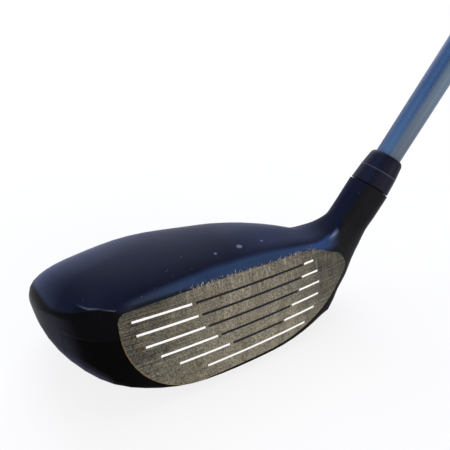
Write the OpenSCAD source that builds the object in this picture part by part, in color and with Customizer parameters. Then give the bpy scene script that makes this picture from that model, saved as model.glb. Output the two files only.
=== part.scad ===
// Hybrid golf club, right-handed, with an adjustable sleeve hosel.
// Address position: ground at Z = 0, +X from toe to heel, the face looks to -Y.
// Sizes are millimetres. The origin is the middle of the sole's resting patch.

/* [Face] */
// Loft of the face, degrees
loft = 19; // [17:0.5:21]
// Bulge and roll radius of the face
face_radius = 340; // [280:10:420]
// Height of the face centre above the ground
face_height = 17; // [16.5:0.25:17.5]
// How far the face centre lies in front of the resting patch
face_lead = 12; // [11:0.5:13]
// Thickness of the face plate
face_thick = 2.4; // [1.8:0.1:2.8]
// Spacing of the score lines
score_pitch = 4.12; // [3.9:0.02:4.2]
// Width of a score line
score_width = 0.75; // [0.6:0.05:1]
// Depth of a score line
score_depth = 0.45; // [0.3:0.05:0.6]
// Depth of the paint's surface below the face
paint_sink = 0.12; // [0.05:0.01:0.25]

/* [Head] */
// Distance from the face centre to the tip of the toe
toe_reach = 59; // [57.5:0.5:61.5]
// Height of the crown at the face centre
crown_height = 34.8; // [33.5:0.25:36]
// Distance from the face centre to the back edge
head_depth = 50.5; // [48:0.5:53]
// Height of the back edge above the ground
back_height = 14; // [12:0.5:16]
// Height of the tip of the toe
toe_height = 20.5; // [20:0.5:23]
// How far the tip of the toe lies behind the face centre
toe_back = 30; // [27:0.5:33]
// Wall of the hollow head
wall = 1.5; // [1.2:0.1:2]
// Concave radius between the crown and the hosel
neck_radius = 20; // [17:0.5:23]

/* [Hosel and sleeve] */
// Lie angle of the shaft, degrees
lie = 58.5; // [57:0.5:60]
// X where the shaft axis meets the ground
axis_x = 30.5; // [29:0.5:32]
// Y of the shaft axis
axis_y = 0.6; // [0:0.1:1.2]
// Outer radius of the hosel
hosel_radius = 7.6; // [7.4:0.1:8]
// Top of the hosel, along the axis from the ground
hosel_top = 52; // [51:0.5:55]
// Radius of the hosel bore
bore_radius = 5.95; // [5.9:0.01:6]
// Radius of the sleeve inside the bore
sleeve_radius = 5.87; // [5.84:0.01:5.89]
// Height of the sleeve's visible band
band_height = 5.6; // [5:0.1:7]
// Height of the ferrule above the band
ferrule_height = 6.1; // [5:0.05:12]
// Height of the light ring between them
ring_height = 0.35; // [0.3:0.05:0.8]
// Seam between the hosel and the band
seam = 0.6; // [0.3:0.05:0.8]

/* [Hosel screw] */
// Radius of the screw's thread
screw_radius = 2.5; // [2.4:0.05:2.6]
// Radius of the screw's head
screw_head = 4.1; // [3.8:0.1:4.2]
// Height of the screw's seat, along the axis from the ground
screw_seat = 14; // [13:0.25:15]

/* [Shaft and grip] */
// Length of the club along the shaft, ground to grip end
club_length = 1010; // [970:5:1040]
// Radius of the shaft's parallel tip
tip_radius = 4.7; // [4.6:0.05:4.72]
// Radius of the shaft at the butt
butt_radius = 7.62; // [7.22:0.1:7.82]
// Length of the parallel tip above the ground
tip_parallel = 165; // [130:5:200]
// Length of the grip
grip_length = 267; // [250:1:275]
// Radius of the grip at its lower end
grip_low_radius = 9.1; // [8.8:0.1:9.6]
// Radius of the grip at the butt
grip_top_radius = 13.3; // [12.5:0.1:14]

/* [Sole weight] */
// Radius of the tungsten weight
weight_radius = 8; // [7:0.25:8.5]
// Thickness of the tungsten weight
weight_thick = 6; // [5:0.25:6.5]
// How far the weight lies behind the origin
weight_back = 21; // [19:0.5:23]

/* [Hidden] */
$fn = 96;
fcx = 0;
fcy = -face_lead;
fcz = face_height;
// Centre of the face's sphere
scy = fcy + face_radius * cos(loft);
scz = fcz - face_radius * sin(loft);
up_y = sin(loft);
up_z = cos(loft);
// Widest station of the head, where the toe starts to close
x_wide = -4;
toe_power_low = 2.35;
toe_power_top = 3.1;
toe_power_rear = 3.5;
toe_power_edge = 7;
// Station where the front starts to sweep back at the toe
x_sweep = -42;
// How far the crown's edge rises past the end of the face
toe_rise = 1.9;
// Y of the tip of the toe and of the back edge
toe_y = fcy + toe_back;
back_y = fcy + head_depth;
// Pivot of the neck: the concave radius's centre
crown_heel = crown_height - 3.6;
pivot_z = crown_heel + neck_radius;
side_x = axis_x - hosel_radius * sin(lie);
side_z = hosel_radius * cos(lie);
pivot_run = (pivot_z - side_z - neck_radius * cos(lie)) / sin(lie);
pivot_x = side_x - neck_radius * sin(lie) + pivot_run * cos(lie);
// Sole height where the neck starts
sole_heel = 1.5;
// Fullness of the heel's outline under the hosel
heel_swell = 2.6;
// Flat patch the sole rests on, and how far it is cut up
rest_cut = 0.15;
// Hosel stack, along the axis from the ground
sleeve_base = screw_seat + 4;
socket_base = sleeve_base + 11;
band_top = hosel_top + seam + band_height;
ring_top = band_top + ring_height;
ferrule_top = ring_top + ferrule_height;
butt_end = club_length - 4;
grip_base = club_length - grip_length;
tape_thick = 0.25;
// The bonded length of the tip is sanded this much under size
tip_prep = 0.04;
weld_gap = 0.03;
// Metal kept between the bore and the face plate
bore_wall = 0.8;
// Seat of the cap in the grip's end
cap_seat = grip_top_radius - 3.7;
// Angles on the hosel's circle where the face, the crown and the rear meet it
face_low_turn = 128;
face_top_turn = 52;
rear_turn = 95;
// Side of the block that levels the resting patch
level_side = 160;
// Weight port: its own frame on the rear of the sole
weight_tilt = 15;
weight_z = 2.3;
weight_sink = 0.9;
port_depth = weight_sink + weight_thick + 0.02;
// Score lines: ends toward the toe and the heel, half length of the dark middle
score_toe = [39.7, 39, 37, 33.2, 28, 19.3];
score_heel = [26.2, 28, 28.5, 27.6, 25, 20.1];
score_dark = [20.8, 19.3, 17.6, 13.8, 10, 0];
score_gap_toe = 1.1;
score_gap_heel = 0.7;

// Small helpers
function mix(a, b, t) = a + (b - a) * t;
function clamp01(t) = max(0, min(1, t));
function smooth(t) = clamp01(t) * clamp01(t) * (3 - 2 * clamp01(t));
function bez(a, b, c, d, t) =
  a * pow(1 - t, 3) + 3 * b * t * pow(1 - t, 2) + 3 * c * t * t * (1 - t) + d * t * t * t;

// Face sphere: y of its front at x, z
function face_y(x, z) = scy - sqrt(pow(face_radius, 2) - x * x - pow(z - scz, 2));

// Closing of the toe: 1 at the widest station, 0 at the tip
function toe_part(x, o) = clamp01((x_wide - x) / (x_wide + toe_reach - o));
function closing(x, o, p) = pow(1 - pow(toe_part(x, o), p), 1 / p);
function sweep_part(x, o) = clamp01((x_sweep - x) / (x_sweep + toe_reach - o));
function sweep(x, o) = pow(1 - pow(sweep_part(x, o), 2.2), 1 / 2.2);
function heel_part(x) = clamp01(x / pivot_x);

// Outline heights and depths at station x, for a skin set in by o
function top_z(x, o) =
  toe_height
  + (crown_height - 3.6 * pow(heel_part(x), 1.8) - o - toe_height) * closing(x, o, toe_power_top);
function low_z(x, o) =
  toe_height
  + (sole_heel * pow(heel_part(x), 2) - rest_cut + o - toe_height) * closing(x, o, toe_power_low);
function rear_y(x, o) =
  toe_y + (back_y - 16 * pow(heel_part(x), 2.2) - o - toe_y) * closing(x, o, toe_power_rear);
function rear_z(x, o) =
  mix(toe_height, back_height + 2 * heel_part(x), closing(x, o, toe_power_rear));
function edge_top(x) = 15.6 - 0.0011 * x * x;
function edge_low(x) =
  -14.9 + (x > 5 ? 0.0085 * pow(x - 5, 2) : x < -19 ? 0.0082 * pow(x + 19, 2) : 0);
function edge_z(x, v) = fcz + v * cos(loft) - (x * x + v * v) / 2 / face_radius * sin(loft);
function front_top(x, o) = let (
    xe = max(x, x_sweep),
    rise = toe_rise * smooth((x_sweep - x) / 7)
  ) toe_height + min(
    (edge_z(xe, edge_top(xe)) + rise - o - toe_height) * closing(x, o, toe_power_edge),
    0.85 * (top_z(x, o) - toe_height));
// 0 along the face, 1 at its toe end, where the crown's edge turns crisp and then fades
function crisp(x) = smooth((x_sweep + 4 - x) / 4) * (1 - smooth((x_sweep - 4 - x) / 9));
function front_low(x, o) =
  toe_height + (edge_z(x, edge_low(x)) + o - toe_height) * closing(x, o, toe_power_low);
function front_y(x, z, o) =
  toe_y + (face_y(x, z) + (o > 0 ? face_thick + 1 : 0) - toe_y) * sweep(x, o);

// Points of one upright section, as [y, z], from the face's lower edge round over the crown
function section(x, o, n) = let (
    zt = top_z(x, o),
    zl = low_z(x, o),
    zft = front_top(x, o),
    zfl = front_low(x, o),
    yft = front_y(x, zft, o),
    yfl = front_y(x, zfl, o),
    yb = rear_y(x, o),
    zb = rear_z(x, o),
    ya = mix(yft, yb, 0.31),
    yl = mix(yfl, yb, 0.4),
    full = 0.37 + 0.27 * smooth((18 - x) / 50) - 0.06 * smooth((-20 - x) / 25),
    ct = 0.6 * (zt - zft),
    soft = [yft + ct * up_y, zft + ct * up_z],
    hard = [mix(yft, ya, 0.2), mix(zft, zt, 0.4)],
    cl = 0.6 * (zfl - zl)
  ) concat(
    [for (i = [0 : n[0] - 1]) let (z = mix(zfl, zft, i / n[0])) [front_y(x, z, o), z]],
    [for (i = [0 : n[1] - 1]) bez([yft, zft], mix(soft, hard, crisp(x)),
      [mix(yft, ya, 0.35), zt], [ya, zt], i / n[1])],
    [for (i = [0 : n[2] - 1]) bez([ya, zt], [mix(ya, yb, full), zt],
      [yb, mix(zb, zt, full)], [yb, zb], i / n[2])],
    [for (i = [0 : n[3] - 1]) bez([yb, zb], [yb, mix(zb, zl, 0.45)],
      [mix(yl, yb, 0.5), zl], [yl, zl], i / n[3])],
    [for (i = [0 : n[4] - 1]) bez([yl, zl], [mix(yl, yfl, 0.6), zl],
      [yfl - cl * up_y, zfl - cl * up_z], [yfl, zfl], i / n[4])]);

// The same points on the hosel's circle, as angles from the crown side toward the face
function round_angles(n) = concat(
  [for (i = [0 : n[0] - 1]) mix(face_low_turn, face_top_turn, i / n[0])],
  [for (i = [0 : n[1] - 1]) mix(face_top_turn, 0, i / n[1])],
  [for (i = [0 : n[2] - 1]) mix(0, -rear_turn, i / n[2])],
  [for (i = [0 : n[3] - 1]) mix(-rear_turn, -180, i / n[3])],
  [for (i = [0 : n[4] - 1]) mix(180, face_low_turn, i / n[4])]);

// Sections along the toe and the middle, as rings of points
function ring_at(x, o, n) = [for (p = section(x, o, n)) [x, p[0], p[1]]];

// Distance from the pivot to the heel's outline, at fan angle f
function heel_far(f) = let (
    swell = heel_swell * smooth((f - 12) / 14) * (1 - smooth((f - 38) / 16)),
    line = (neck_radius + 2 * hosel_radius + swell) / cos(lie - f),
    floor_ = (pivot_z - sole_heel + rest_cut) / cos(f),
    s = mix(14, 5.2, smooth(f / 12))
  ) pow(pow(line, -s) + pow(floor_, -s), -1 / s);
// Sections of the neck, fanned about the pivot until they are the hosel's circle
function fan_ring(f, n) = let (
    base = section(pivot_x, 0, n),
    zt = top_z(pivot_x, 0),
    zl = low_z(pivot_x, 0),
    w = smooth((f - 10) / (lie - 10)),
    wb = 1 - pow(1 - clamp01(f / lie / 0.7), 2),
    far = heel_far(f),
    q = round_angles(n)
  ) [for (j = [0 : len(base) - 1]) let (
      nh = (zt - base[j][1]) / (zt - zl),
      nc = (1 - cos(q[j])) / 2,
      depth = base[j][0] - face_y(pivot_x, base[j][1]),
      wj = mix(w, wb, clamp01(depth / 20)),
      nn = mix(nh, nc, wj),
      r = neck_radius + nn * (far - neck_radius),
      x = pivot_x + r * sin(f),
      z = pivot_z - r * cos(f),
      y = face_y(x, z) + depth,
      yc = axis_y - hosel_radius * sin(q[j])
    ) [x, mix(y, yc, wj), z]];
function hosel_ring(a, n) = [for (t = round_angles(n)) [
    axis_x + a * cos(lie) - hosel_radius * cos(t) * sin(lie),
    axis_y - hosel_radius * sin(t),
    a * sin(lie) + hosel_radius * cos(t) * cos(lie)]];

// A closed skin over rings of points
module skin(rings) {
  m = len(rings[0]);
  k = len(rings);
  points = [for (r = rings) for (p = r) p];
  sides = [for (i = [0 : k - 2]) for (j = [0 : m - 1]) let (
      a = i * m + j, b = i * m + (j + 1) % m, c = a + m, d = b + m) each [[a, b, c], [b, d, c]]];
  ends = [[for (j = [m - 1 : -1 : 0]) j], [for (j = [0 : m - 1]) (k - 1) * m + j]];
  polyhedron(points, concat(sides, ends), convexity = 6);
}

// The head's outer skin, from the tip of the toe to the top of the hosel
module outer_skin() {
  n = [8, 7, 11, 10, 7];
  toe = [for (i = [0 : 16]) x_wide - (x_wide + toe_reach) * sin(88.6 * (16 - i) / 16)];
  mid = [for (i = [1 : 7]) mix(x_wide, pivot_x, i / 7)];
  fan = [for (i = [1 : 13]) lie * i / 13];
  skin(concat(
    [for (x = toe) ring_at(x, 0, n)],
    [for (x = mid) ring_at(x, 0, n)],
    [for (f = fan) fan_ring(f, n)],
    [hosel_ring(hosel_top, n)]));
}

// The hollow, open to the back of the face plate
module hollow() {
  n = [3, 3, 7, 6, 3];
  toe = [for (i = [0 : 9]) x_wide - (x_wide + toe_reach - wall) * sin(86 * (9 - i) / 9)];
  mid = [for (i = [1 : 3]) mix(x_wide, pivot_x - 1.5, i / 3)];
  skin([for (x = concat(toe, mid)) ring_at(x, wall, n)]);
}

// Frames of the face, the shaft axis and the weight port
module on_face() translate([fcx, fcy, fcz]) rotate([90 - loft, 0, 0]) children();
module on_axis(a = 0) translate([axis_x, axis_y, 0]) rotate([0, 90 - lie, 0])
  translate([0, 0, a]) children();
module on_port() translate([-3, weight_back, weight_z]) rotate([weight_tilt, 0, 0]) children();

// Face outline: corners with radii, walked round
face_corners = [[-43.3, 13.4, 2.8], [-43.3, -14.3, 22], [13, -14.2, 60], [32, -8, 40],
  [44.4, 3.6, 3], [41.5, 8.6, 5], [26.5, 14.4, 25], [-8, 15.2, 200]];
function corner_arc(a, b, c, r) = let (
    u = (a - b) / norm(a - b),
    v = (c - b) / norm(c - b),
    h = acos(u * v) / 2,
    m = b + (u + v) / norm(u + v) * r / sin(h),
    s = b + u * r / tan(h) - m,
    turn = 180 - 2 * h,
    k = ceil(turn / 9) + 1
  ) [for (i = [0 : k]) m + [s[0] * cos(turn * i / k) - s[1] * sin(turn * i / k),
      s[0] * sin(turn * i / k) + s[1] * cos(turn * i / k)]];
function face_outline(inset) = let (m = len(face_corners)) [for (i = [0 : m - 1]) let (
    p = face_corners[(i + m - 1) % m], q = face_corners[i], r = face_corners[(i + 1) % m]
  ) each corner_arc(shrink(p, inset), shrink(q, inset), shrink(r, inset), q[2] * (1 - inset / 13.8))];
function shrink(c, inset) = [c[0] * (1 - inset / 45), (c[1] - 0.5) * (1 - inset / 13.8) + 0.5];
module face_prism(inset, low, high) translate([0, 0, low])
  linear_extrude(high - low) polygon(face_outline(inset));
module face_ball(sink) translate([0, 0, -face_radius]) sphere(face_radius - sink, $fn = 240);

// One run of a score line, from u1 to u2 at height v
module score_run(v, u1, u2, low, high, width) {
  r = sqrt(face_radius * face_radius - v * v);
  a1 = asin(u1 / r);
  a2 = asin(u2 / r);
  translate([0, 0, -face_radius]) rotate([-90, 0, 0]) rotate([0, 0, a1 - 90])
    rotate_extrude(angle = a2 - a1, $fn = 240) translate([r - low, v - width / 2])
      square([low - high, width]);
}
function score_v(i) = (2.5 - i) * score_pitch;
module score_white(low, high, width) {
  for (i = [0 : 4]) {
    score_run(score_v(i), -score_toe[i], -score_dark[i] - score_gap_toe, low, high, width);
    score_run(score_v(i), score_dark[i] + score_gap_heel, score_heel[i], low, high, width);
  }
  score_run(score_v(5), -score_toe[5], score_heel[5], low, high, width);
}
module score_middle(low, high, width) {
  for (i = [0 : 4])
    score_run(score_v(i), -score_dark[i], score_dark[i], low, high, width);
}

// Metal kept round the hosel bore, which the face plate is relieved for
module bore_wall_zone(gap) on_axis() cylinder(r = bore_radius + bore_wall + gap, h = hosel_top);

// Cast steel head with its hosel, hollow behind the face
module head_body() color("#20242c") difference() {
  outer_skin();
  difference() {
    hollow();
    on_axis() cylinder(r = hosel_radius + 0.6, h = 60);
    on_port() translate([0, 0, -2]) cylinder(r = weight_radius + 2, h = port_depth + 4.5);
  }
  difference() {
    on_face() difference() {
      face_prism(0, -12, 8);
      face_ball(face_thick);
    }
    bore_wall_zone(0);
  }
  difference() {
    on_face() face_prism(2.2, -13, 2);
    bore_wall_zone(0);
  }
  on_axis(screw_seat + 2.5) cylinder(r = bore_radius, h = 60);
  on_axis(-10) cylinder(r = screw_head + 0.4, h = screw_seat + 10);
  on_axis(-1) cylinder(r = screw_radius + 0.15, h = 40);
  on_port() translate([0, 0, -6]) cylinder(r = weight_radius + 0.05, h = port_depth + 6);
  on_port() cylinder(r = 2.03, h = port_depth + 4);
  translate([-level_side / 2, -level_side / 2, -20]) cube([level_side, level_side, 20]);
}

// Steel face, welded into the opening, bulged and rolled, with score lines
module face_plate() color("#9a948c") difference() {
  on_face() difference() {
    intersection() {
      face_prism(weld_gap, -12, 8);
      face_ball(0);
    }
    face_ball(face_thick);
    score_white(score_depth, -1, score_width);
    score_middle(score_depth, -1, score_width);
  }
  bore_wall_zone(weld_gap);
}

// Paint in the score lines
module score_paint_white() color("#eef0f2") on_face()
  score_white(score_depth, paint_sink, score_width);
module score_paint_dark() color("#181a1e") on_face()
  score_middle(score_depth, paint_sink, score_width);

// Tungsten weight in the rear of the sole, its ring and its screw
module sole_weight() color("#6d6f72") on_port() translate([0, 0, weight_sink]) difference() {
  cylinder(r = weight_radius, h = weight_thick);
  translate([0, 0, -1]) cylinder(r = 2.15, h = weight_thick + 2);
  translate([0, 0, -1]) cylinder(r = 3.8, h = 4);
  translate([0, 0, -1]) difference() {
    cylinder(r = weight_radius - 0.7, h = 1.5);
    translate([0, 0, -1]) cylinder(r = weight_radius - 1.7, h = 4);
  }
}
module weight_ring() color("#c9ccd0") on_port() translate([0, 0, weight_sink]) difference() {
  cylinder(r = weight_radius - 0.72, h = 0.5);
  translate([0, 0, -1]) cylinder(r = weight_radius - 1.68, h = 4);
}
module weight_screw() color("#3a3c40") on_port() translate([0, 0, weight_sink]) difference() {
  union() {
    translate([0, 0, 0.3]) cylinder(r = 3.6, h = 2.7);
    cylinder(r = 2, h = weight_thick + 3.3);
  }
  translate([0, 0, -1]) cylinder(r = 1.55, h = 3, $fn = 6);
  translate([0, 0, -1]) difference() {
    cylinder(r = 3, h = 1.3);
    translate([0, 0, -1]) cylinder(r = 1.55, h = 4, $fn = 6);
  }
}

// Screw that holds the head on the sleeve, and the washer under its head
module hosel_screw() color("#3a3c40") on_axis() difference() {
  union() {
    translate([0, 0, screw_seat - 5]) cylinder(r = screw_head, h = 4.4);
    translate([0, 0, screw_seat - 5]) cylinder(r = screw_radius, h = 16);
  }
  translate([0, 0, screw_seat - 6]) cylinder(r = 2.2, h = 3.6, $fn = 6);
}
module screw_washer() color("#d8d4c8") on_axis(screw_seat - 0.55) difference() {
  cylinder(r = screw_head, h = 0.5);
  translate([0, 0, -1]) cylinder(r = screw_radius + 0.02, h = 3);
}

// Clip that keeps the screw in the head, on the bore side of its seat
module screw_clip() color("#e4e2da") on_axis(screw_seat + 2.6) difference() {
  cylinder(r = 4.6, h = 0.8);
  translate([0, 0, -1]) cylinder(r = screw_radius + 0.02, h = 3);
}

// Aluminium sleeve bonded to the shaft's tip
module hosel_sleeve() color("#2b2d31") on_axis() difference() {
  union() {
    translate([0, 0, sleeve_base]) cylinder(r = sleeve_radius, h = hosel_top + seam + 0.5 - sleeve_base);
    translate([0, 0, hosel_top + seam])
      cylinder(r1 = hosel_radius - 0.3, r2 = hosel_radius - 0.7, h = band_height);
  }
  translate([0, 0, socket_base]) cylinder(r = tip_radius, h = 60);
  translate([0, 0, sleeve_base - 1]) cylinder(r = screw_radius + 0.05, h = 13);
}
module trim_ring() color("#b9bdc2") on_axis(band_top) difference() {
  cylinder(r = hosel_radius - 0.68, h = ring_top - band_top);
  translate([0, 0, -1]) cylinder(r = tip_radius, h = 3);
}
module ferrule() color("#17181b") on_axis() rotate_extrude() polygon([
  [tip_radius, ring_top],
  [hosel_radius - 0.72, ring_top],
  [hosel_radius - 1.4, ferrule_top - 1.2],
  [hosel_radius - 1.7, ferrule_top - 0.45],
  [hosel_radius - 2.1, ferrule_top],
  [tip_radius, ferrule_top]]);

// Graphite shaft: parallel tip, straight taper, hollow
module shaft() color("#4d5b70") on_axis() rotate_extrude() polygon([
  [2.3, socket_base + 0.1],
  [tip_radius - tip_prep, socket_base + 0.1],
  [tip_radius - tip_prep, ferrule_top],
  [tip_radius, ferrule_top],
  [tip_radius, tip_parallel],
  [butt_radius, butt_end - 120],
  [butt_radius, butt_end],
  [butt_radius - 1, butt_end],
  [butt_radius - 1, butt_end - 120],
  [2.3, tip_parallel]]);
module tip_plug() color("#c9a877") on_axis(socket_base + 0.1) cylinder(r = 2.28, h = 12);

// Grip: tape on the shaft, moulded rubber over it, and a harder cap in its end
function shaft_radius(a) =
  mix(tip_radius, butt_radius, clamp01((a - tip_parallel) / (butt_end - 120 - tip_parallel)));
module grip_tape() color("#d9d2bc") on_axis() rotate_extrude() polygon([
  [shaft_radius(grip_base + 6) + 0.02, grip_base + 6],
  [shaft_radius(grip_base + 6) + tape_thick, grip_base + 6],
  [butt_radius + tape_thick, butt_end - 120],
  [butt_radius + tape_thick, butt_end],
  [butt_radius + 0.02, butt_end],
  [butt_radius + 0.02, butt_end - 120]]);
module grip() color("#1d1e20") on_axis() rotate_extrude() polygon([
  [shaft_radius(grip_base) + tape_thick + 0.05, grip_base],
  [grip_low_radius - 0.4, grip_base],
  [grip_low_radius, grip_base + 0.8],
  [grip_low_radius, grip_base + 9],
  [grip_low_radius - 0.5, grip_base + 10],
  [grip_low_radius - 0.5, grip_base + 11.5],
  [grip_low_radius, grip_base + 12.5],
  [mix(grip_low_radius, grip_top_radius, 0.42), grip_base + 120],
  [mix(grip_low_radius, grip_top_radius, 0.78), club_length - 60],
  [grip_top_radius, club_length - 14],
  [grip_top_radius, club_length - 2.4],
  [grip_top_radius - 0.7, club_length - 0.7],
  [grip_top_radius - 2.2, club_length],
  [cap_seat, club_length],
  [cap_seat, club_length - 1.6],
  [butt_radius + tape_thick + 0.05, club_length - 1.6],
  [butt_radius + tape_thick + 0.05, butt_end - 120]]);
module grip_cap() color("#2a2c30") on_axis() rotate_extrude() polygon([
  [1.6, butt_end],
  [butt_radius + 0.2, butt_end],
  [butt_radius + 0.2, club_length - 1.6],
  [cap_seat - 0.05, club_length - 1.6],
  [cap_seat - 0.05, club_length - 0.3],
  [cap_seat - 0.5, club_length],
  [2.2, club_length],
  [1.6, club_length - 0.6]]);

head_body();
face_plate();
score_paint_white();
score_paint_dark();
sole_weight();
weight_screw();
weight_ring();
hosel_screw();
screw_washer();
screw_clip();
hosel_sleeve();
trim_ring();
ferrule();
shaft();
tip_plug();
grip_tape();
grip();
grip_cap();
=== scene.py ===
# %% [markdown]
# # A hybrid golf club
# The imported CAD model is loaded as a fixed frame: every piece is already where it belongs, in
# metres, with the ground at Z = 0, +X from toe to heel and the face looking to -Y. This lesson
# adds what CAD doesn't have: smooth skins, real finishes, small repeated details, a camera and
# soft studio light.

# %% Load the frame
import math

import bmesh
import bpy
from mathutils import Euler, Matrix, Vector


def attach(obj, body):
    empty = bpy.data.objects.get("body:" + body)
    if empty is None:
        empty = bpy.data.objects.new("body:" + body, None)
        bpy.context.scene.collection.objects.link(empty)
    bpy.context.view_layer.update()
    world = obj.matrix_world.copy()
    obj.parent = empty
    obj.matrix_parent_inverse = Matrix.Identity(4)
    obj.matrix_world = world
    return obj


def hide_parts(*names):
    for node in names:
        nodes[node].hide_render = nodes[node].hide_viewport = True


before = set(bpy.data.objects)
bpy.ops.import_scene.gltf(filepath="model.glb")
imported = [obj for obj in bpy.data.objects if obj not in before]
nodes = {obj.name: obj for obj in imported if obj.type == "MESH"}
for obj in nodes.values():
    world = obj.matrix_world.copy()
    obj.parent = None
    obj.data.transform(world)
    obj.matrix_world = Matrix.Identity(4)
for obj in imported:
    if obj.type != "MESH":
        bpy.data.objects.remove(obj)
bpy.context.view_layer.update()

# %% [markdown]
# ## The camera
# The photograph was taken close up, from the toe side and above, so the lens is short and the
# perspective strong. A camera can be set by eye, but here its place was solved from things whose
# real shape is known: the six parallel score lines, the face's outline and the shaft. A near clip
# of 10 mm keeps the toe, which is only about 120 mm from the lens.

# %% Camera
MM = 0.001
CAMERA_PLACE = Vector((-76.64, -91.0, 109.61)) * MM
CAMERA_DEGREES = (60.274, -5.144, -34.385)
SENSOR_WIDTH = LENS_LENGTH = 36.0  # millimetres
scene = bpy.context.scene
camera_data = bpy.data.cameras.new("photo_camera")
camera_data.sensor_fit = "HORIZONTAL"
camera_data.sensor_width = SENSOR_WIDTH
camera_data.lens = LENS_LENGTH
camera_data.clip_start = 10 * MM
camera_data.clip_end = 20.0
camera = bpy.data.objects.new("photo_camera", camera_data)
camera.location = CAMERA_PLACE
camera.rotation_euler = Euler([math.radians(angle) for angle in CAMERA_DEGREES], "XYZ")
scene.collection.objects.link(camera)
scene.camera = camera
scene.view_settings.view_transform = "Standard"
print("camera at", [round(v, 4) for v in CAMERA_PLACE])

# %% [markdown]
# ## Colours and nodes
# Colours are written the way a paint chart gives them, as sRGB hex, and one function turns them
# to the linear values that shaders add up. One small function adds any node, with its settings
# and its links. It takes numbers, hex colours, sockets or whole nodes, so that a material reads
# from top to bottom like a recipe.

# %% Colours and nodes
def linear(hex_colour):
    """sRGB hex to linear RGBA."""
    parts = [int(hex_colour[i:i + 2], 16) / 255 for i in (1, 3, 5)]
    return tuple(c / 12.92 if c <= 0.04045 else ((c + 0.055) / 1.055) ** 2.4
                 for c in parts) + (1.0,)


def put(tree, kind, inputs=(), **settings):
    """Adds a node. Its inputs come by name or in order, as values, sockets or nodes."""
    node = tree.nodes.new(kind)
    for key, value in settings.items():
        setattr(node, key, value)
    if isinstance(inputs, dict):
        pairs = [(node.inputs[key], value) for key, value in inputs.items()]
    else:
        pairs = zip([socket for socket in node.inputs if socket.enabled], inputs)
    for socket, value in pairs:
        if isinstance(value, bpy.types.Node):
            value = next(output for output in value.outputs if output.enabled)
        if isinstance(value, bpy.types.NodeSocket):
            tree.links.new(value, socket)
        else:
            socket.default_value = linear(value) if isinstance(value, str) else value
    return node


def new_material(name):
    """A material with an empty node tree."""
    material = bpy.data.materials.new(name)
    material.use_nodes = True
    material.node_tree.nodes.clear()
    return material, material.node_tree


print("white is", linear("#ffffff"))

# %% [markdown]
# ## Rulers
# A finish needs sizes in millimetres, counted from a sensible place. An unwrapped UV map could
# give them, but the object's own coordinates need no unwrapping and have no seams. A Mapping node
# of type Texture undoes a move, a turn and a scale, so it turns the object's metres into
# millimetres over the ground, over the face (toward the heel, up the face, out of the face), or
# along the shaft, whose third number runs up its axis.

# %% Rulers
LOFT, LIE = math.radians(19.0), math.radians(58.5)
QUARTER = math.radians(90)
FACE_CENTRE = Vector((0, -12, 17)) * MM
SHAFT_FOOT = Vector((30.5, 0.6, 0)) * MM
RULERS = {
    "face": (FACE_CENTRE, (QUARTER - LOFT, 0, 0)),
    "shaft": (SHAFT_FOOT, (0, QUARTER - LIE, 0)),
    "ground": (Vector((0, 0, 0)), (0, 0, 0)),
}


def ruler(tree, name):
    """Millimetres from the start of a ruler, in its own three directions."""
    start, turn = RULERS[name]
    point = put(tree, "ShaderNodeTexCoord").outputs["Object"]
    return put(tree, "ShaderNodeMapping", (point, start, turn, (MM, MM, MM)),
               vector_type="TEXTURE")


print("rulers:", list(RULERS))

# %% [markdown]
# ## How much, how grainy, what over what
# Most of a finish is a question of where. A ramp turns a place or a direction into a number from
# 0 to 1, and ramps that are multiplied give a region with soft borders. A grain is a noise whose
# waves have a real size. Coats of colour then lie over each other, each as strong as its weight.
# A painted image could do all this, but it would need unwrapping and would blur close up.

# %% Weights, grains and coats
def weight(tree, *parts):
    """Multiplies parts. A tuple is a ramp: a value, its two ends, and its results there if they
    aren't 0 and 1."""
    product = None
    for part in parts:
        if isinstance(part, tuple):
            part = put(tree, "ShaderNodeMapRange", part)
        if product is None:
            product = part
        else:
            product = put(tree, "ShaderNodeMath", (product, part), operation="MULTIPLY")
    return product


def grain(tree, place, waves, detail=4.0, roughness=0.5):
    """A noise, with its waves per millimetre along each of the ruler's directions."""
    scaled = put(tree, "ShaderNodeMapping", {"Vector": place, "Scale": waves})
    return put(tree, "ShaderNodeTexNoise", (scaled, 1.0, detail, roughness))


def coats(tree, colour, *layers):
    """Lays colours over a first one, each with its weight."""
    for amount, layer in layers:
        colour = put(tree, "ShaderNodeMix", (amount, colour, layer), data_type="RGBA")
    return colour


print("a finish is made of:", [maker.__name__ for maker in (ruler, weight, grain, coats)])

# %% [markdown]
# ## Satin paint on the cast head
# The head is a steel casting. Its crown is sprayed satin navy, and its toe, sole and heel are
# satin black. Such paint shows broad soft sheens instead of sharp reflections. One material holds
# all of it, as one skin does on the real head, and it is built up in the next cells: the navy,
# the black, the border between them, the painted sheens and highlights, then dust and chips. All
# regions are given in the head's own millimetres and by the direction of its surface, so nothing
# slides with the view.

# %% Head paint: places and directions
paint, tree = new_material("satin_paint_on_cast_steel")
ground = ruler(tree, "ground")
on_face = ruler(tree, "face")
x, y, z = put(tree, "ShaderNodeSeparateXYZ", [ground]).outputs
face_x, face_y, face_out = put(tree, "ShaderNodeSeparateXYZ", [on_face]).outputs
normal = put(tree, "ShaderNodeTexCoord").outputs["Normal"]
normal_x, normal_y, normal_z = put(tree, "ShaderNodeSeparateXYZ", [normal]).outputs
cloud = grain(tree, ground, (0.07, 0.07, 0.07))  # sprayed coats vary over about 14 mm
print("paint starts from", len(tree.nodes), "nodes")
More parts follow.
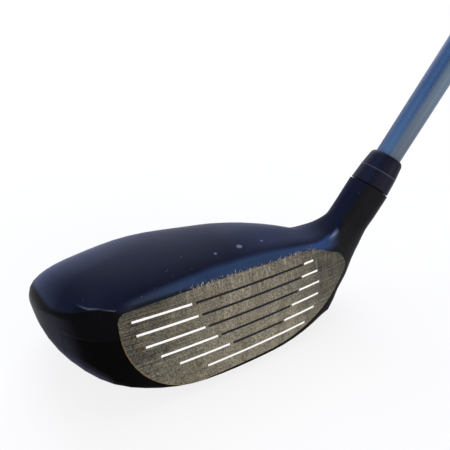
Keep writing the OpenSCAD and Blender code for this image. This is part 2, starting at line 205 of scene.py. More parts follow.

# %% [markdown]
# ## Navy crown
# Satin navy is almost black along the front of the crown. Where it rolls away to the rear it
# catches a pale sheen of light, which could be left to the lamps, but a lamp large enough also
# lifts the black parts. So that sheen is painted in, as two thin coats of paler blue: one over the
# rear on the heel's side, and one where the surface turns to the rear of the toe.

# %% Head paint: navy crown
REAR_OF_TOE = (-0.4, 0.92, 0.0)
to_rear_of_toe = put(tree, "ShaderNodeVectorMath", (normal, REAR_OF_TOE),
                     operation="DOT_PRODUCT")
# painted sheens: paler blue on the crown's rear, standing in for light
painted_heel_sheen = weight(tree, (x, -4.0, 11.0), (x, 37.0, 30.0), (y, -4.5, -0.5))
painted_rear_sheen = weight(tree, (to_rear_of_toe, 0.14, 0.5), (x, 5.0, -25.0))
navy = coats(tree, "#0d1120",
             (weight(tree, (cloud, 0.3, 0.7)), "#13172a"),
             (painted_heel_sheen, "#272d43"),
             (painted_rear_sheen, "#3c4259"))
print("navy done at", len(tree.nodes), "nodes")

# %% [markdown]
# ## Black toe, sole and heel
# The lower half of the casting is satin black. A shallow panel is set into the toe, blacker than
# what surrounds it. The heel gets painted light that makes it a little paler, and two painted
# sheens follow the toe's roundness: one where it turns furthest from the heel, and one along its
# lower rim. The panel's step is too shallow to be worth a solid, so it is a tone here and a bump
# in the last cell of the paint.

# %% Head paint: black toe, sole and heel
panel = weight(tree, (x, -55.75, -55.45), (z, 22.5, 22.2), (y, 9.0, 3.0), (x, -38.0, -42.0))
# painted light: a paler heel, and two sheens on the toe's roundness
heel = weight(tree, (x, 15.0, 42.0))
far_toe_sheen = weight(tree, (normal_x, -0.77, -0.86), (z, 10.0, 15.0), (z, 23.0, 19.0), 0.8)
low_rim_sheen = weight(tree, (normal_z, 0.2, -0.02), (normal_y, -0.1, -0.4), (x, -46.0, -49.0),
                 (z, 9.5, 11.0))
black = coats(tree, "#060608",
              (panel, "#020202"),
              (heel, "#171719"),
              (far_toe_sheen, "#1b1a20"),
              (low_rim_sheen, "#2b2c38"))
print("black done at", len(tree.nodes), "nodes")

# %% [markdown]
# ## The border of the crown
# On the real head the two paints meet along the edge of the crown. A drawn border would have to be
# fitted to that edge, but the surface's direction already knows it: the crown is what faces up.
# The hosel is navy on its rear half, so a second direction covers it. At the toe the border drops
# to a short crisp edge just past the face, and the thin line of light along it is a painted
# highlight.

# %% Head paint: border of the crown
REAR_OF_HOSEL = (-0.45, 0.85, 0.27)
EDGE_MIDDLE = 46.2  # the crisp edge's middle, in millimetres on the toe side of the origin
to_rear = put(tree, "ShaderNodeVectorMath", (normal, REAR_OF_HOSEL), operation="DOT_PRODUCT")
hosel_rear = weight(tree, (to_rear, 0.02, 0.3), (x, 34.0, 40.0))
edge_height = weight(tree, (x, -46.5, -43.5, 30.38, 29.6))
over_edge = put(tree, "ShaderNodeMath", (z, edge_height), operation="SUBTRACT")
toe_front = weight(tree, (x, -53.0, -51.0), (x, -42.6, -43.6), (y, 3.5, 1.0))
under_edge = weight(tree, toe_front, (over_edge, -0.02, -0.14))
faces_up = put(tree, "ShaderNodeMath", (weight(tree, (normal_z, 0.56, 0.7)), hosel_rear),
               operation="MAXIMUM")
is_crown = weight(tree, faces_up, (under_edge, 1.0, 0.0))

off_edge = put(tree, "ShaderNodeMath", [over_edge], operation="ABSOLUTE")
past_middle = put(tree, "ShaderNodeMath", (x, EDGE_MIDDLE), operation="ADD")
off_middle = put(tree, "ShaderNodeMath", [past_middle], operation="ABSOLUTE")
# painted highlight: a thin pale line along the crisp edge at the toe
painted_edge_highlight = weight(tree, (off_edge, 0.16, 0.04), toe_front, (x, -51.5, -49.5),
                   (off_middle, 0.5, 2.5, 0.35, 1.0), 0.8)
paints_and_painted_light = coats(tree, black, (is_crown, navy), (painted_edge_highlight, "#4a5361"))
print("border done at", len(tree.nodes), "nodes")

# %% [markdown]
# ## Blue sheen over the face
# Between the crown and the face the paint rolls over a rounded lip. In the light this lip carries
# a long blue sheen from a window, with a small bright glint where it runs up into the hosel. A
# lamp could draw it, but it would light the crown and the hosel too. So both are painted: the
# coat turns blue where the lip leans forward by more than a limit, and the limit changes along
# the head as the lip's roundness does, and the glint is a pale spot painted near the hosel.

# %% Head paint: blue sheen over the face
over_face = weight(tree, (face_out, -7.0, -4.0))
on_lip = weight(tree, over_face, (face_y, 11.0, 13.0))
limit = weight(tree, (x, -40.0, -12.0, -0.55, -0.26))
for change in ((x, 18.0, 32.0, 0.0, 0.07), (x, 35.0, 38.5, 0.0, -0.15)):
    limit = put(tree, "ShaderNodeMath", (limit, weight(tree, change)), operation="ADD")
lean = put(tree, "ShaderNodeMath", (limit, normal_y), operation="SUBTRACT")
# painted reflection: the lip turns blue as if a window shone in it
lip = weight(tree, (lean, 0.0, 0.18), on_lip, (normal_z, 0.2, 0.6, 0.6, 1.0),
             (x, -42.5, -38.0), (x, 41.0, 36.0), (cloud, 0.35, 0.65, 0.7, 1.0))
painted_sheen_blue = coats(tree, "#2c3444",
                 (weight(tree, (x, -40.0, -20.0)), "#2c3e5e"),
                 (weight(tree, (x, 16.0, 30.0)), "#324672"))
# painted glint: a small pale spot where the lip runs into the hosel
painted_glint = weight(tree, (normal_y, -0.42, -0.58), (normal_y, -0.92, -0.72), (normal_z, 0.2, 0.4),
               (x, 35.0, 37.5), (x, 40.9, 38.3), over_face)
with_painted_sheens = coats(tree, paints_and_painted_light, (lip, painted_sheen_blue), (painted_glint, "#66748a"))
print("sheen done at", len(tree.nodes), "nodes")

# %% [markdown]
# ## Dust and chips
# A used club has pale dust specks on its crown, and chips above the face, where balls have knocked
# the paint off and bare steel shows. Chips could be modelled, but they are only as deep as the
# paint. They are a noise, drawn out the way a ball slides, and cut by a level that is lowest at
# the face's upper edge, so they thin out away from it. That edge is a shallow arc, so the height
# above it is measured from a parabola. Toward the toe a thin painted shadow lies along the paint
# just above that edge.

# %% Head paint: dust and chips
FACE_TOP = 15.0  # top of the face, in millimetres up the face from its centre
ARC_MIDDLE = 8.0  # the arc's top lies this far toward the toe, in millimetres
ARC_BEND = 0.0008  # how far it falls, per squared millimetre away from its top
from_top = put(tree, "ShaderNodeMath", (face_x, ARC_MIDDLE), operation="ADD")
above = put(tree, "ShaderNodeMath", (face_y, weight(tree, from_top, from_top, ARC_BEND)),
            operation="ADD")
specks = weight(tree, (grain(tree, ground, (0.9, 0.9, 0.9), 2.0), 0.765, 0.79), is_crown, 0.35)
# painted shadow: a dark line just above the face's edge, on the toe half
painted_edge_shadow = weight(tree, (above, FACE_TOP + 0.9, FACE_TOP + 0.2), (face_x, -42.0, -38.0),
                   (face_x, -12.0, -24.0), on_lip, 0.75)
dust_and_painted_shadow = coats(tree, with_painted_sheens, (specks, "#7d8596"), (painted_edge_shadow, "#0a0c0e"))

slide_marks = grain(tree, on_face, (2.6, 0.75, 0.75), 5.0, 0.7)  # 0.4 mm wide, 1.3 mm long
clusters = grain(tree, on_face, (0.13, 0.13, 0.13), 2.0)  # groups of chips, 8 mm wide
struck = weight(tree, (above, FACE_TOP + 3.6, FACE_TOP), (above, FACE_TOP - 1.2, FACE_TOP - 0.6),
                (face_x, -42.0, -20.0), (face_x, 34.0, 26.0), (face_out, -9.0, -6.0),
                (clusters, 0.35, 0.65, 0.8, 1.0))
chip_level = weight(tree, (struck, 0.0, 1.0, 0.82, 0.52))
chips = put(tree, "ShaderNodeMath", (slide_marks, chip_level), operation="GREATER_THAN")
bare_steel = coats(tree, "#5f5b54",
                   (weight(tree, (grain(tree, ground, (2, 2, 2), 2.0), 0.35, 0.65)), "#b9b4aa"))
print("chips done at", len(tree.nodes), "nodes")

# %% [markdown]
# ## The paint's surface
# Sprayed satin paint has a very fine orange peel and scatters light, so it has hardly any mirror
# reflection, only a faint bluish sheen at grazing angles. The peel's real waves are finer than a
# pixel, and are drawn 0.4 mm long so that they show close up. Chips and the toe's panel are sunk
# a little into the surface.

# %% Head paint: surface
panel_step = put(tree, "ShaderNodeBump",
                 {"Height": panel, "Strength": 0.8, "Distance": 0.15 * MM}, invert=True)
peel = put(tree, "ShaderNodeMath", (grain(tree, ground, (2.5, 2.5, 2.5), 2.0), chips),
           operation="SUBTRACT")
peel_bump = put(tree, "ShaderNodeBump", {"Height": peel, "Strength": 0.05,
                                         "Distance": 0.05 * MM, "Normal": panel_step})
# To the eye: deep, quiet colour with soft broad sheens, and no clear reflections.
satin = put(tree, "ShaderNodeBsdfPrincipled", {
    "Base Color": coats(tree, dust_and_painted_shadow, (chips, bare_steel)),
    "Roughness": weight(tree, (cloud, 0.3, 0.7, 0.34, 0.44)), "Normal": peel_bump,
    "Specular IOR Level": 0.02, "Sheen Weight": 0.022, "Sheen Roughness": 0.3,
    "Sheen Tint": "#8ea2e6"})
put(tree, "ShaderNodeOutputMaterial", [satin])
print("paint nodes:", len(tree.nodes))

# %% [markdown]
# ## The head's skin
# The CAD head is a loft of flat triangles, each with its own stored normals. The same shape with
# those normals dropped, its points merged and smooth shading reads as one smooth casting, while
# edges sharper than 38 degrees, such as the seat of the face and the rim of the hosel, stay
# crisp. A subdivision surface could smooth it too, but it would shrink the fitted edges. A copy
# is changed, because the CAD mesh itself is fixed.

# %% Head skin
SHARP = math.radians(38)
SAME_POINT, NO_LENGTH = 2e-6, 1e-6  # metres


def smooth_copy(node, name, material, body):
    """A merged, smooth-shaded copy of a CAD node that stands for it."""
    mesh = nodes[node].data.copy()
    mesh.name = name
    stored_normals = mesh.attributes.get("custom_normal")
    if stored_normals:
        mesh.attributes.remove(stored_normals)
    work = bmesh.new()
    work.from_mesh(mesh)
    bmesh.ops.remove_doubles(work, verts=work.verts, dist=SAME_POINT)
    bmesh.ops.dissolve_degenerate(work, edges=work.edges, dist=NO_LENGTH)
    for edge in work.edges:
        edge.smooth = edge.calc_face_angle(0.0) < SHARP
    work.to_mesh(mesh)
    work.free()
    mesh.polygons.foreach_set("use_smooth", [True] * len(mesh.polygons))
    mesh.materials.clear()
    mesh.materials.append(material)
    piece = bpy.data.objects.new(name, mesh)
    scene.collection.objects.link(piece)
    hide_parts(node)
    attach(piece, body)
    return piece


head = smooth_copy("head_body", "painted_head", paint, "head")
print("head skin:", len(head.data.polygons), "faces")

# %% [markdown]
# ## Blasted steel face
# The face is a bare steel plate, blasted and lightly brushed, then worn by balls. One noise could
# stand for all of that, but each process leaves a mark of its own shape, so each has its own
# grain: brush lines along the face, a speckle from the blasting, broad stains, patches of wear,
# and upright streaks. The real speckle is finer than a pixel, and is drawn 0.6 mm wide so that
# it shows.

# %% Face steel: grains
steel, tree = new_material("blasted_and_brushed_face_steel")
on_face = ruler(tree, "face")
face_x, face_y, _ = put(tree, "ShaderNodeSeparateXYZ", [on_face]).outputs
brush = grain(tree, on_face, (0.05, 2.2, 0.3), 4.0, 0.65)  # lines 20 mm long, 0.5 mm apart
speckle = grain(tree, on_face, (1.8, 1.8, 1.8), 5.0, 0.8)  # 0.6 mm wide
stain = grain(tree, on_face, (0.16, 0.16, 0.16), 4.0, 0.6)  # 6 mm wide
patches = grain(tree, on_face, (0.22, 0.06, 0.1), 3.0, 0.6)  # 5 mm wide, 17 mm high
streak = grain(tree, on_face, (1.1, 0.18, 0.3), 5.0, 0.75)  # 1 mm wide, 6 mm high
print("face grains use", len(tree.nodes), "nodes")

# %% [markdown]
# ## Wear on the face
# The middle of the face, where balls land, is warmer and lighter, and brush lines are rubbed out
# there. Near the top the steel is duskier but crossed by pale rubbed streaks. A thin brassy rim
# follows the rounded lower corner at the toe. It is found by the distance from that corner's
# centre.

# %% Face steel: wear
CORNER_CENTRE = (-21.3, 7.7, 0.0)  # centre of the round lower toe corner, millimetres
CORNER_RIM = 21.5  # where the rim starts, in millimetres from that centre
middle = weight(tree, (face_x, -40.0, -12.0), (face_x, 32.0, 14.0))
base = coats(tree, "#43423d",
             (middle, "#69655b"),
             (weight(tree, (face_y, 0.0, -13.0), 0.5), "#747060"),
             (weight(tree, (stain, 0.5, 0.72, 0.0, 0.5)), "#5f5643"))
line_depth = weight(tree, (middle, 0.0, 1.0, 0.7, 0.16))
lines = put(tree, "ShaderNodeMath",
            (weight(tree, (brush, 0.3, 0.7, -1.0, 1.0)), line_depth, 1.0),
            operation="MULTIPLY_ADD")
brightness = weight(tree, (speckle, 0.36, 0.64, 0.2, 1.85), lines,
                    (patches, 0.3, 0.7, 0.72, 1.2), (face_y, 1.0, 12.0, 1.0, 0.72))
worn = put(tree, "ShaderNodeVectorMath", (base, brightness), operation="SCALE")
rubbed = weight(tree, (streak, 0.52, 0.72), (face_y, 0.0, 13.0), (face_x, -30.0, -8.0),
                (face_x, 38.0, 30.0), 0.75)
from_corner = put(tree, "ShaderNodeVectorMath", (on_face, CORNER_CENTRE), operation="SUBTRACT")
in_plane = put(tree, "ShaderNodeVectorMath", (from_corner, (1.0, 1.0, 0.0)),
               operation="MULTIPLY")
reach = put(tree, "ShaderNodeVectorMath", [in_plane], operation="LENGTH")
rim = weight(tree, (reach, CORNER_RIM, CORNER_RIM + 0.25), (face_x, -22.0, -30.0),
             (face_y, 9.0, 3.0), 0.5)
face_colour = coats(tree, worn, (rubbed, "#a29c90"), (rim, "#7a6338"))
print("wear done at", len(tree.nodes), "nodes")

# %% [markdown]
# ## The face's surface
# Blasting leaves the steel rough, and brushing leaves shallow lines, so the same two grains also
# make the relief and the roughness. Modelled grooves would need millions of faces, and a bump
# gives the same glitter. The score lines are real grooves, and come with the CAD plate.

# %% Face steel: surface
relief = put(tree, "ShaderNodeMath", (brush, speckle), operation="ADD")
face_bump = put(tree, "ShaderNodeBump",
                {"Height": relief, "Strength": 0.3, "Distance": 0.05 * MM})
# To the eye: a dull grey-brown metal that glitters finely and never mirrors.
metal = put(tree, "ShaderNodeBsdfPrincipled", {
    "Base Color": face_colour, "Metallic": 0.85, "Normal": face_bump,
    "Roughness": weight(tree, (speckle, 0.3, 0.7, 0.4, 0.62)), "Specular IOR Level": 0.2})
put(tree, "ShaderNodeOutputMaterial", [metal])
face = smooth_copy("face_plate", "struck_face", steel, "head")
print("face:", len(face.data.polygons), "faces,", len(tree.nodes), "nodes")

# %% [markdown]
# ## Simple finishes
# The smaller pieces share a few honest materials. Each could have a recipe of its own, but they
# are small, and what they need is the same: two tones, because no real surface has a single
# colour, mixed by a grain of a stated size in millimetres that also drives the roughness and a
# slight relief.

# %% Simple finishes
RELIEF = 0.01 * MM
ROUGH_SPREAD = 0.06  # how far the roughness goes up and down with the grain


def finish(name, dark, light, grain_mm, rough, metallic=0.0, specular=0.3):
    """A two-tone finish whose grain has a real size."""
    material, tree = new_material(name)
    mottle = grain(tree, ruler(tree, "ground"), [1.0 / grain_mm] * 3)
    bump = put(tree, "ShaderNodeBump",
               {"Height": mottle, "Strength": 0.3, "Distance": RELIEF})
    shader = put(tree, "ShaderNodeBsdfPrincipled", {
        "Base Color": coats(tree, dark, (weight(tree, (mottle, 0.3, 0.7)), light)),
        "Metallic": metallic, "Specular IOR Level": specular, "Normal": bump,
        "Roughness": weight(tree, (mottle, 0.3, 0.7, rough - ROUGH_SPREAD,
                                   rough + ROUGH_SPREAD))})
    put(tree, "ShaderNodeOutputMaterial", [shader])
    return material


FINISHES = {
    # Enamel run into the lines and wiped level: clean white, and a soft black.
    "score_paint_white": finish("white_enamel_fill", "#f6f7f8", "#ffffff", 0.8, 0.5),
    "score_paint_dark": finish("black_enamel_fill", "#0b0d15", "#1a1d28", 0.8, 0.5,
                               specular=0.1),
    # Turned heavy metal: grey, satin, with fine tool marks.
    "sole_weight": finish("turned_tungsten_alloy", "#5d5f63", "#7d7f83", 0.5, 0.36,
                          metallic=1.0),
    # Oxide-blackened steel: dark, with a dull metal shine.
    "weight_screw": finish("black_oxide_steel", "#1d1e21", "#303136", 0.4, 0.42, metallic=0.9),
    # Rubber: black and matt.
    "weight_ring": finish("black_rubber_seal", "#0f1012", "#191a1c", 0.4, 0.7, specular=0.1),
    # Zinc plating: grey, brighter than bare steel and slightly cloudy.
    "hosel_screw": finish("zinc_plated_bolt_steel", "#6a6c70", "#8b8d91", 0.4, 0.35,
                          metallic=1.0),
    # Stamped sheet steel: pale and even.
    "screw_washer": finish("stamped_washer_steel", "#8f9194", "#b2b4b7", 0.6, 0.35,
                           metallic=1.0),
    # Undyed nylon: a milky off-white.
    "screw_clip": finish("natural_nylon_clip", "#d3d0c4", "#e2dfd4", 0.8, 0.5),
    # Anodised aluminium: blue-black, with an even satin surface.
    "hosel_sleeve": finish("black_anodised_aluminium", "#0d0e1a", "#161729", 0.3, 0.4,
                           specular=0.05),
    # Satin aluminium: one thin line, paler than what it parts.
    "trim_ring": finish("satin_aluminium_trim", "#2f3040", "#3f4150", 0.3, 0.4, specular=0.12),
    # Buffed cellulose: blue-black, smooth, softer than metal.
    "ferrule": finish("buffed_cellulose_ferrule", "#0d0d1a", "#151529", 0.5, 0.4,
                      specular=0.05),
    # Cork: warm brown granules.
    "tip_plug": finish("cork_tip_plug", "#9a7448", "#c29c6b", 0.6, 0.8),
    # Paper tape: a fibrous cream.
    "grip_tape": finish("adhesive_paper_tape", "#c7bd9f", "#ddd5bc", 0.7, 0.8),
    # Moulded rubber: charcoal and matt, its cap a little harder and shinier.
    "grip": finish("moulded_natural_rubber", "#151618", "#222326", 0.35, 0.72, specular=0.2),
    "grip_cap": finish("hard_moulded_cap_rubber", "#191a1d", "#27282c", 0.3, 0.58,
                       specular=0.25),
}
print("finishes:", len(FINISHES))

# %% [markdown]
# ## The smaller pieces
# Score paint, weight, screws, sleeve, trim, plug, tape and grip are already the right shape in
# CAD. Each could simply get a new material, but a smooth copy also loses the facets that show on
# round pieces, so they are all made as the head's skin was.

# %% Smaller pieces
PIECES = {
    # CAD node: piece, slot, body
    "score_paint_white": ("white_score_fill", "white_paint", "head"),
    "score_paint_dark": ("dark_score_fill", "dark_paint", "head"),
    "sole_weight": ("tungsten_weight", "tungsten", "head"),
    "weight_screw": ("weight_bolt", "screw_steel", "head"),
    "weight_ring": ("weight_seal", "ring_rubber", "head"),
    "hosel_screw": ("hosel_bolt", "screw_steel", "hosel_screw"),
    "screw_washer": ("bolt_washer", "washer_steel", "hosel_screw"),
    "screw_clip": ("bolt_clip", "nylon", "hosel_screw"),
    "hosel_sleeve": ("adjusting_sleeve", "sleeve_aluminium", "shaft_assembly"),
    "trim_ring": ("trim_line", "trim", "shaft_assembly"),
    "ferrule": ("shaft_ferrule", "ferrule_plastic", "shaft_assembly"),
    "tip_plug": ("cork_plug", "plug", "shaft_assembly"),
    "grip_tape": ("paper_tape", "tape", "shaft_assembly"),
    "grip": ("grip_core", "grip_rubber", "shaft_assembly"),
    "grip_cap": ("end_cap", "cap_rubber", "shaft_assembly"),
}
made = {node: smooth_copy(node, name, FINISHES[node], body)
        for node, (name, slot_name, body) in PIECES.items()}
print("finished pieces:", len(made))

# %% [markdown]
# ## Lacquered graphite shaft
# A graphite shaft is wrapped, sanded and sprayed, then covered with clear lacquer. Its colour is a
# slate blue that shifts a little along the wrap, with a fine metal flake. Under the room's light
# it
# looks split along its length: grey on the side toward the front, blue behind that, and dark at
# the far edge. A tube this thin reflects the whole room, so lamps alone can't hold that split. So
# the grey is a painted reflection and the dark edge painted shade, both laid on by the direction
# of the surface, and painted light at the lower end brings the tones closer together.

# %% Shaft lacquer
# the side that gets the painted grey reflection
PAINTED_REFLECTION_SIDE = (0.446, -0.852, -0.274)  # square to the shaft's axis
lacquer, tree = new_material("slate_blue_lacquer_on_graphite")
along = ruler(tree, "shaft")
up_shaft = put(tree, "ShaderNodeSeparateXYZ", [along]).outputs["Z"]
normal = put(tree, "ShaderNodeTexCoord").outputs["Normal"]
to_painted_reflection = put(tree, "ShaderNodeVectorMath", (normal, PAINTED_REFLECTION_SIDE), operation="DOT_PRODUCT")
wrap = grain(tree, along, (0.25, 0.25, 0.05), 3.0)  # 4 mm round the tube, 20 mm along it
flake = grain(tree, along, (3.0, 3.0, 3.0), 2.0)  # 0.3 mm, coarser than real flake so it shows
# painted light: near the ferrule the blue lightens and the grey darkens
painted_low_end_light = weight(tree, (up_shaft, 92.0, 66.0))
grey = coats(tree, "#586a7b", (painted_low_end_light, "#4f5b69"))
slate = coats(tree, "#2c4468",
              (weight(tree, (wrap, 0.3, 0.7)), "#365175"),
              (painted_low_end_light, "#445f81"),
              # painted reflection in grey toward the front, then painted shade at the far edge
              (weight(tree, (to_painted_reflection, -0.1, 0.32)), grey),
              (weight(tree, (to_painted_reflection, -0.72, -0.98)), "#26344a"),
              (weight(tree, (flake, 0.5, 0.75, 0.0, 0.25)), "#6a84a0"))
# To the eye: a clear blue under a thin gloss, which picks up the window panel in reflections.
shine = put(tree, "ShaderNodeBsdfPrincipled", {
    "Base Color": slate, "Roughness": weight(tree, (flake, 0.3, 0.7, 0.3, 0.4)),
    "Specular IOR Level": 0.03, "Coat Weight": 0.2, "Coat Roughness": 0.28})
put(tree, "ShaderNodeOutputMaterial", [shine])
shaft = smooth_copy("shaft", "graphite_shaft", lacquer, "shaft_assembly")
print("shaft:", len(shaft.data.polygons), "faces,", len(tree.nodes), "nodes")

# %% [markdown]
# ## Growing what repeats
# The club has two things that repeat: printed dots and moulded ribs. A loop in Python could place
# them, but a Geometry Nodes tree states their rule once, with named inputs for the sizes. It is
# run once on an empty object, and its result is kept as a plain mesh, so the finished piece has
# no modifier left.

# %% Geometry trees
def new_tree(name, sockets):
    """An empty geometry tree with named inputs; returns it and its inputs."""
    tree = bpy.data.node_groups.new(name, "GeometryNodeTree")
    tree.interface.new_socket("Geometry", in_out="OUTPUT", socket_type="NodeSocketGeometry")
    for socket, kind in sockets.items():
        tree.interface.new_socket(socket, in_out="INPUT", socket_type="NodeSocket" + kind)
    return tree, put(tree, "NodeGroupInput").outputs


def grow(name, tree, values):
    """Runs a geometry tree and keeps its result as a plain mesh object."""
    seedling = bpy.data.objects.new(name + "_tree", bpy.data.meshes.new(name + "_tree"))
    scene.collection.objects.link(seedling)
    modifier = seedling.modifiers.new("tree", "NODES")
    modifier.node_group = tree
    for item in tree.interface.items_tree:
        if item.in_out == "INPUT":
            modifier[item.identifier] = values[item.name]
    ready = seedling.evaluated_get(bpy.context.evaluated_depsgraph_get())
    mesh = bpy.data.meshes.new_from_object(ready)
    mesh.name = name
    seedling.modifiers.remove(modifier)
    bpy.data.objects.remove(seedling)
    piece = bpy.data.objects.new(name, mesh)
    scene.collection.objects.link(piece)
    return piece


print("geometry trees so far:", len(bpy.data.node_groups))

# %% [markdown]
# ## Alignment dots on the crown
# Three small printed dots, the middle one larger, sit 9 mm apart above the face's centre, so that
# a golfer can see where the middle is. They could be drawn in the paint, but a print stands a
# little proud of it. They are one shape three times, each laid on a curved surface, so the tree
# drops three points onto the crown and puts a thin flat disc on each.

# %% Alignment dots
PRINT_HEIGHT = 0.03 * MM
ABOVE_HEAD = 0.1  # metres, where the points start to drop
tree, given = new_tree("alignment_dots", {
    "Head": "Object", "Pitch": "Float", "Small dot": "Float", "Large dot": "Float",
    "Back": "Float", "Ink": "Material"})
index = put(tree, "GeometryNodeInputIndex")
step = put(tree, "ShaderNodeMath", (index, 1.0), operation="SUBTRACT")
across = put(tree, "ShaderNodeMath", (step, given["Pitch"]), operation="MULTIPLY")
over = put(tree, "ShaderNodeCombineXYZ", (across, given["Back"], ABOVE_HEAD))
target = put(tree, "GeometryNodeObjectInfo", [given["Head"]], transform_space="RELATIVE")
drop = put(tree, "GeometryNodeRaycast", {
    "Target Geometry": target.outputs["Geometry"], "Source Position": over,
    "Ray Direction": (0, 0, -1), "Ray Length": 1.0}).outputs
laid = put(tree, "GeometryNodeSetPosition", {
    "Geometry": put(tree, "GeometryNodePoints", {"Count": 3}), "Position": drop["Hit Position"]})
turn = put(tree, "FunctionNodeAxesToRotation", (drop["Hit Normal"], (1, 0, 0)),
           primary_axis="Z", secondary_axis="X")
outer = put(tree, "ShaderNodeMath", [step], operation="ABSOLUTE")
radius = put(tree, "ShaderNodeMix", (outer, given["Large dot"], given["Small dot"]))
size = put(tree, "ShaderNodeCombineXYZ", (radius, radius, PRINT_HEIGHT))
disc = put(tree, "GeometryNodeMeshUVSphere", {"Segments": 24, "Rings": 6, "Radius": 1.0})
dots = put(tree, "GeometryNodeInstanceOnPoints", {
    "Points": laid, "Instance": disc, "Rotation": turn, "Scale": size})
real = put(tree, "GeometryNodeRealizeInstances", [dots])
inked = put(tree, "GeometryNodeSetMaterial", {"Geometry": real, "Material": given["Ink"]})
put(tree, "NodeGroupOutput", [inked])

# To the eye: pad-printed ink, blue-grey, matt and slightly uneven.
dot_ink = finish("pale_blue_grey_dot_ink", "#3d475b", "#57627a", 0.5, 0.5, specular=0.1)
dots_piece = grow("alignment_dots", tree, {
    "Head": head, "Pitch": 9 * MM, "Small dot": 0.5 * MM, "Large dot": 0.95 * MM,
    "Back": 1 * MM, "Ink": dot_ink})
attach(dots_piece, "head")
print("dots:", len(dots_piece.data.polygons), "faces")

# %% [markdown]
# ## Moulded ribs on the grip
# A rubber grip has hundreds of small raised ribs, in rings that are offset by half a rib from row
# to row. A bump in the material could suggest them, but they show in the grip's outline. The rule
# is a row number and a place in the row, so each point gets both from its index, starts outside
# the grip, is shot inward onto its tapered surface, and is given one small rib.

# %% Grip ribs: the rule
OUTSIDE, SHOT = 0.04, 0.05  # metres: where points start, and how far they are shot
SHAFT_UP = (math.cos(LIE), 0.0, math.sin(LIE))
tree, given = new_tree("grip_ribs", {
    "Grip": "Object", "Rows": "Int", "Columns": "Int", "First row": "Float",
    "Row pitch": "Float", "Rib size": "Vector", "Rubber": "Material"})
count = put(tree, "ShaderNodeMath", (given["Rows"], given["Columns"]), operation="MULTIPLY")
index = put(tree, "GeometryNodeInputIndex")
rows_in = put(tree, "ShaderNodeMath", (index, given["Columns"]), operation="DIVIDE")
row = put(tree, "ShaderNodeMath", [rows_in], operation="FLOOR")
odd = put(tree, "ShaderNodeMath", (row, 2.0), operation="MODULO")
half = put(tree, "ShaderNodeMath", (odd, 0.5), operation="MULTIPLY")
place = put(tree, "ShaderNodeMath", (index, half), operation="ADD")
share = put(tree, "ShaderNodeMath", (place, given["Columns"]), operation="DIVIDE")
angle = put(tree, "ShaderNodeMath", (share, 2 * math.pi), operation="MULTIPLY")
cosine = put(tree, "ShaderNodeMath", [angle], operation="COSINE")
sine = put(tree, "ShaderNodeMath", [angle], operation="SINE")
height = put(tree, "ShaderNodeMath", (row, given["Row pitch"], given["First row"]),
             operation="MULTIPLY_ADD")
flat_spoke = put(tree, "ShaderNodeCombineXYZ", (cosine, sine))
spoke = put(tree, "ShaderNodeVectorRotate", {"Vector": flat_spoke, "Angle": QUARTER - LIE},
            rotation_type="Y_AXIS")
climb = put(tree, "ShaderNodeVectorMath", (SHAFT_UP, height), operation="SCALE")
core = put(tree, "ShaderNodeVectorMath", (climb, SHAFT_FOOT), operation="ADD")
far = put(tree, "ShaderNodeVectorMath", (spoke, [OUTSIDE] * 3, core), operation="MULTIPLY_ADD")
inward = put(tree, "ShaderNodeVectorMath", (spoke, -1.0), operation="SCALE")
print("rib rule:", len(tree.nodes), "nodes")

# %% [markdown]
# ## One rib at each point
# A rib is a flattened dome, longer along the grip than round it. A few faces are enough, because
# there are about a thousand of them, and smooth shading does the rest.

# %% Grip ribs: the ribs
target = put(tree, "GeometryNodeObjectInfo", [given["Grip"]], transform_space="RELATIVE")
shot = put(tree, "GeometryNodeRaycast", {
    "Target Geometry": target.outputs["Geometry"], "Source Position": far,
    "Ray Direction": inward, "Ray Length": SHOT}).outputs
seated = put(tree, "GeometryNodeSetPosition", {
    "Geometry": put(tree, "GeometryNodePoints", {"Count": count}),
    "Position": shot["Hit Position"]})
turn = put(tree, "FunctionNodeAxesToRotation", (spoke, SHAFT_UP),
           primary_axis="Z", secondary_axis="X")
rib = put(tree, "GeometryNodeMeshUVSphere", {"Segments": 8, "Rings": 5, "Radius": 1.0})
ribs = put(tree, "GeometryNodeInstanceOnPoints", {
    "Points": seated, "Instance": rib, "Rotation": turn, "Scale": given["Rib size"]})
real = put(tree, "GeometryNodeRealizeInstances", [ribs])
soft = put(tree, "GeometryNodeSetShadeSmooth", [real])
rubbery = put(tree, "GeometryNodeSetMaterial", {"Geometry": soft, "Material": given["Rubber"]})
put(tree, "NodeGroupOutput", [rubbery])
ribs_piece = grow("grip_ribs", tree, {
    "Grip": made["grip"], "Rows": 58, "Columns": 18, "First row": 762 * MM,
    "Row pitch": 3.9 * MM, "Rib size": (1.5 * MM, 0.9 * MM, 0.3 * MM),
    "Rubber": FINISHES["grip"]})
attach(ribs_piece, "shaft_assembly")
print("ribs:", len(ribs_piece.data.polygons), "faces")

# %% [markdown]
# ## White surroundings
# In the photograph a pale floor runs into white. More light would do that, but it would also
# bleach the club. So camera, mirror and glass rays see plain white, as in a light tent, while
# the light that reaches the club comes from a dimmer world and from lamps.

# %% World
def seen_white(tree):
    """1 for rays that meet plain white: from the camera, mirrored or through glass."""
    rays = put(tree, "ShaderNodeLightPath").outputs
    seen = rays["Is Camera Ray"]
    for ray in ("Is Glossy Ray", "Is Transmission Ray"):
        seen = put(tree, "ShaderNodeMath", (seen, rays[ray]), operation="MAXIMUM")
    return seen


world = bpy.data.worlds.new("light_tent")
scene.world = world
world.use_nodes = True
tree = world.node_tree
tree.nodes.clear()
dim = put(tree, "ShaderNodeBackground", {"Color": "#eef1fa", "Strength": 0.42})
white = put(tree, "ShaderNodeBackground", {"Color": "#ffffff", "Strength": 1.0})
tent = put(tree, "ShaderNodeMixShader", (seen_white(tree), dim, white))
put(tree, "ShaderNodeOutputWorld", [tent])
print("world:", world.name)

# %% [markdown]
# ## Floor
# A plain pale sheet. A floor that only catches shadows would leave nothing to stand on in other
# views, so this is a real one. Near the club it keeps a fifth of its own matt shading, which is
# where the soft shadow under the head comes from, and farther off it fades to the tent's white.

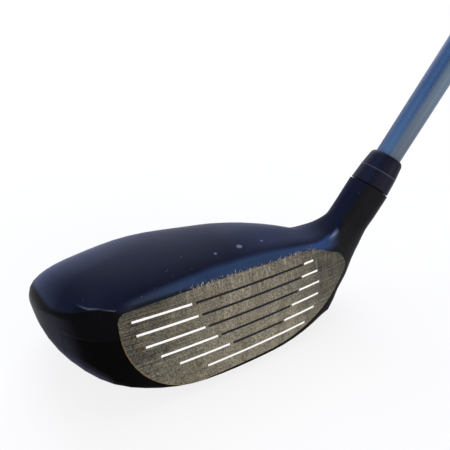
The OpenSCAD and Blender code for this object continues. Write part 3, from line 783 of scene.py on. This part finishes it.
# %% Floor
HALF_FLOOR = 6.0  # metres
NEAR, FAR, NEAR_WHITE = 0.15, 0.9, 0.8  # metres from the club, and how white it is near by
floor_paint, tree = new_material("pale_studio_floor")
point = put(tree, "ShaderNodeTexCoord").outputs["Object"]
far_off = put(tree, "ShaderNodeVectorMath", [point], operation="LENGTH")
whiteness = weight(tree, seen_white(tree), (far_off, NEAR, FAR, NEAR_WHITE, 1.0))
matte = put(tree, "ShaderNodeBsdfDiffuse", {"Color": "#f2f2f4"})
glow = put(tree, "ShaderNodeEmission", {"Color": "#ffffff", "Strength": 1.0})
# To the eye: even paper white, with a soft grey shadow.
pale = put(tree, "ShaderNodeMixShader", (whiteness, matte, glow))
put(tree, "ShaderNodeOutputMaterial", [pale])
floor_mesh = bpy.data.meshes.new("floor")
corners = [(sx * HALF_FLOOR, sy * HALF_FLOOR, 0)
           for sx, sy in ((-1, -1), (1, -1), (1, 1), (-1, 1))]
floor_mesh.from_pydata(corners, [], [(0, 1, 2, 3)])
floor_mesh.materials.append(floor_paint)
floor = bpy.data.objects.new("floor", floor_mesh)
scene.collection.objects.link(floor)
print("floor:", 2 * HALF_FLOOR, "m wide")

# %% [markdown]
# ## Lamps
# Large soft boxes stand overhead and behind, so that the crown is lit from the rear as in the
# photograph, with a window at the left and two weak warm fills in front for the face. A small
# blue panel shows in reflections only: it tints the gloss without lighting matt surfaces.

# %% Lamps
LAMPS = {
    # name: place in metres, size in metres, watts, colour, lights matt surfaces too
    "overhead_box": ((0.25, 0.7, 1.4), 1.1, 11.0, "#fbfaff", True),
    "back_box": ((0.4, 1.15, 0.7), 1.0, 12.0, "#d3dcff", True),
    "left_window": ((-1.1, 0.55, 0.35), 0.8, 5.0, "#dbe4ff", True),
    "front_fill": ((-0.5, -1.3, 0.6), 0.9, 7.0, "#fffaf2", True),
    "right_fill": ((0.45, -1.05, 0.25), 0.6, 5.0, "#fff4e6", True),
    "window_panel": ((-0.50, 0.10, 0.83), 0.5, 10.0, "#4a86cc", False),
}
for name, (place, size, watts, hex_colour, matt_too) in LAMPS.items():
    lamp_data = bpy.data.lights.new(name, "AREA")
    lamp_data.size = size
    lamp_data.energy = watts
    lamp_data.color = linear(hex_colour)[:3]
    lamp = bpy.data.objects.new(name, lamp_data)
    lamp.location = place
    lamp.rotation_euler = (FACE_CENTRE - Vector(place)).to_track_quat("-Z", "Y").to_euler()
    lamp.visible_diffuse = matt_too
    lamp.visible_camera = False
    scene.collection.objects.link(lamp)
print("lamps:", list(LAMPS))
